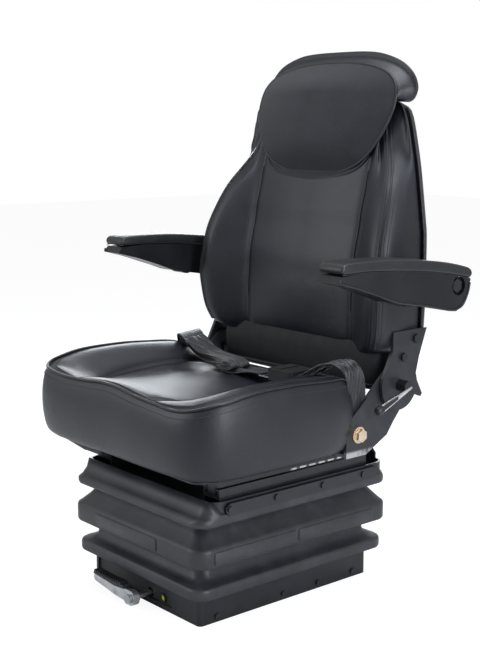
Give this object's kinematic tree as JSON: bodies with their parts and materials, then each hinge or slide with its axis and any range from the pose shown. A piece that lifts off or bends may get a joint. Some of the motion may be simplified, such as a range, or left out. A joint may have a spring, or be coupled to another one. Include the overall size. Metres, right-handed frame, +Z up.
{
  "type": "tractor suspension seat",
  "caption": "Sprung operator seat with folded rubber bellows, slide rails, reclining back, padded headrest, folding armrests and lap belt.",
  "frame": {"origin": "bottom centre of the base pan, in the middle of its four mounting holes", "axes": "+Z up, -Y the way the seat faces, +X the occupant's left"},
  "size_m": [0.63, 0.54, 0.924],
  "materials": {
    "painted_steel": "satin blue-black powder coat",
    "zinc_plate": "zinc plated",
    "black_plastic": "fine matte",
    "black_screws": "black passivated",
    "bump_rubber": "matte",
    "cast_alloy": "cast and tumbled",
    "grip_rubber": "ribbed",
    "spring_steel": "drawn wire",
    "yellow_plastic": "bright",
    "chrome_plate": "polished",
    "roller_plastic": "natural nylon",
    "bellows_rubber": "matte moulded",
    "cushion_leather": "satin grained",
    "headrest_fabric": "fine suede",
    "brass_zinc": "yellow passivated",
    "webbing": "woven ribs",
    "button_plastic": "moulded",
    "back_shell": "textured",
    "arm_plastic": "textured",
    "arm_pad": "soft touch"
  },
  "bodies": {
    "base": {"base_tray": "painted_steel", "front_panel": "black_plastic", "base_screws": "black_screws", "travel_stops": "bump_rubber", "lower_pivot_shaft": "zinc_plate", "spindle_bearing": "painted_steel", "indicator_bezel": "black_plastic", "bellows": "bellows_rubber"},
    "weight_lever": {"weight_lever": "cast_alloy", "weight_lever_grip": "grip_rubber"},
    "weight_spindle": {"weight_spindle": "zinc_plate"},
    "spring_carriage": {"spring_carriage": "painted_steel", "tension_springs": "spring_steel", "spring_links": "zinc_plate"},
    "indicator_flag": {"indicator_flag": "yellow_plastic"},
    "damper_tube": {"damper_tube": "painted_steel"},
    "damper_rod": {"damper_rod": "chrome_plate"},
    "scissor_outer": {"scissor_outer": "painted_steel"},
    "scissor_inner": {"scissor_inner": "painted_steel"},
    "lower_rollers": {"lower_rollers": "roller_plastic"},
    "upper_rollers": {"upper_rollers": "roller_plastic"},
    "platform": {"upper_tray": "painted_steel", "upper_pivot_shaft": "zinc_plate", "clamp_strips": "painted_steel", "tray_screws": "black_screws", "rail_bases": "zinc_plate", "lower_rail_left": "zinc_plate", "lower_rail_right": "zinc_plate"},
    "seat_frame": {"upper_rail_left": "zinc_plate", "upper_rail_right": "zinc_plate", "seat_pan": "painted_steel", "cushion_board": "black_plastic", "seat_cushion": "cushion_leather", "recliner_bracket_left": "painted_steel", "recliner_bracket_right": "painted_steel", "recliner_shafts": "zinc_plate", "anchor_bolts": "brass_zinc", "belt_left": "webbing", "belt_right": "webbing", "belt_tongue": "chrome_plate", "belt_buckle": "black_plastic"},
    "slide_lever": {"slide_lever": "black_plastic"},
    "recliner_lever": {"recliner_lever": "chrome_plate"},
    "buckle_button": {"buckle_button": "button_plastic"},
    "backrest": {"recliner_plate_left": "painted_steel", "recliner_plate_right": "painted_steel", "back_tube": "painted_steel", "plate_bolts": "zinc_plate", "backrest_cushion": "cushion_leather", "backrest_shell": "back_shell", "headrest_guides": "black_plastic", "armrest_bolts": "zinc_plate"},
    "headrest": {"headrest_cushion": "headrest_fabric", "headrest_posts": "chrome_plate"},
    "armrest_left": {"armrest_left": "arm_plastic", "armrest_pad_left": "arm_pad"},
    "armrest_right": {"armrest_right": "arm_plastic", "armrest_pad_right": "arm_pad"},
    "armrest_wheel_left": {"armrest_wheel_left": "button_plastic"},
    "armrest_wheel_right": {"armrest_wheel_right": "button_plastic"}
  },
  "joints": [
    {"name": "suspension_travel", "type": "slide", "parent": "base", "child": "platform", "axis": [0, 0, 1], "range_m": [-0.06, 0], "stiffness_N_per_m": 5000, "springref_m": 0.075, "deforming": ["bellows"]},
    {"name": "scissor_outer_swing", "type": "hinge", "parent": "base", "child": "scissor_outer", "pos_m": [0, 0.145, 0.04], "axis": [1, 0, 0], "range_deg": [0, 12.7]},
    {"name": "scissor_inner_swing", "type": "hinge", "parent": "platform", "child": "scissor_inner", "pos_m": [0, 0.145, 0.168], "axis": [1, 0, 0], "range_deg": [-12.7, 0]},
    {"name": "lower_rollers_roll", "type": "hinge", "parent": "scissor_inner", "child": "lower_rollers", "pos_m": [0, -0.11522, 0.04], "axis": [1, 0, 0], "range_deg": [0, 117]},
    {"name": "upper_rollers_roll", "type": "hinge", "parent": "scissor_outer", "child": "upper_rollers", "pos_m": [0, -0.11522, 0.168], "axis": [1, 0, 0], "range_deg": [-117, 0]},
    {"name": "damper_swing", "type": "hinge", "parent": "base", "child": "damper_tube", "pos_m": [0.075, -0.105, 0.03], "axis": [1, 0, 0], "range_deg": [-13.3, 0]},
    {"name": "damper_stroke", "type": "slide", "parent": "damper_tube", "child": "damper_rod", "axis": [0, 0.8557, 0.5174], "range_m": [-0.0254, 0]},
    {"name": "weight_lever_swing", "type": "hinge", "parent": "base", "child": "weight_lever", "pos_m": [0.014, -0.225, 0.018], "axis": [0, 1, 0], "range_deg": [-4, 40]},
    {"name": "weight_spindle_turn", "type": "hinge", "parent": "base", "child": "weight_spindle", "pos_m": [0.014, -0.1, 0.018], "axis": [0, 1, 0], "range_deg": [0, 1800]},
    {"name": "spring_preload", "type": "slide", "parent": "base", "child": "spring_carriage", "axis": [0, -1, 0], "range_m": [0, 0.0251]},
    {"name": "indicator_travel", "type": "slide", "parent": "base", "child": "indicator_flag", "axis": [0, 1, 0], "range_m": [0, 0.0041]},
    {"name": "seat_slide", "type": "slide", "parent": "platform", "child": "seat_frame", "axis": [0, 1, 0], "range_m": [-0.075, 0.075]},
    {"name": "slide_lever_pull", "type": "hinge", "parent": "seat_frame", "child": "slide_lever", "pos_m": [-0.105, -0.143, 0.24], "axis": [0, 0, 1], "range_deg": [0, 12], "stiffness_Nm_per_rad": 3, "springref_deg": -5.73},
    {"name": "backrest_recline", "type": "hinge", "parent": "seat_frame", "child": "backrest", "pos_m": [0, 0.175, 0.36], "axis": [-1, 0, 0], "range_deg": [-15, 45]},
    {"name": "recliner_lever_lift", "type": "hinge", "parent": "seat_frame", "child": "recliner_lever", "pos_m": [0.248, 0.175, 0.36], "axis": [-1, 0, 0], "range_deg": [0, 25], "stiffness_Nm_per_rad": 2, "springref_deg": -11.46},
    {"name": "buckle_press", "type": "slide", "parent": "seat_frame", "child": "buckle_button", "axis": [0, 0, -1], "range_m": [0, 0.0035], "stiffness_N_per_m": 500, "springref_m": -0.002},
    {"name": "headrest_height", "type": "slide", "parent": "backrest", "child": "headrest", "axis": [0, 0.2419, 0.9703], "range_m": [0, 0.06]},
    {"name": "armrest_left_fold", "type": "hinge", "parent": "backrest", "child": "armrest_left", "pos_m": [0.288, 0.229, 0.532], "axis": [-1, 0, 0], "range_deg": [0, 95]},
    {"name": "armrest_right_fold", "type": "hinge", "parent": "backrest", "child": "armrest_right", "pos_m": [-0.288, 0.229, 0.532], "axis": [-1, 0, 0], "range_deg": [0, 95]},
    {"name": "armrest_wheel_left_turn", "type": "hinge", "parent": "armrest_left", "child": "armrest_wheel_left", "pos_m": [0.288, 0.116, 0.527], "axis": [1, 0, 0], "continuous": true},
    {"name": "armrest_wheel_right_turn", "type": "hinge", "parent": "armrest_right", "child": "armrest_wheel_right", "pos_m": [-0.288, 0.116, 0.527], "axis": [1, 0, 0], "continuous": true}
  ],
  "couplings": [
    {"joint": "scissor_outer_swing", "follows": "suspension_travel", "rad_per_m": -3.6741},
    {"joint": "scissor_inner_swing", "follows": "suspension_travel", "rad_per_m": 3.6741},
    {"joint": "lower_rollers_roll", "follows": "suspension_travel", "rad_per_m": -33.802},
    {"joint": "upper_rollers_roll", "follows": "suspension_travel", "rad_per_m": 33.802},
    {"joint": "damper_swing", "follows": "suspension_travel", "rad_per_m": 3.8179},
    {"joint": "damper_stroke", "follows": "suspension_travel", "ratio": 0.41897},
    {"joint": "spring_preload", "follows": "weight_spindle_turn", "m_per_rad": 0.00079577},
    {"joint": "indicator_travel", "follows": "weight_spindle_turn", "m_per_rad": 0.00012732}
  ]
}
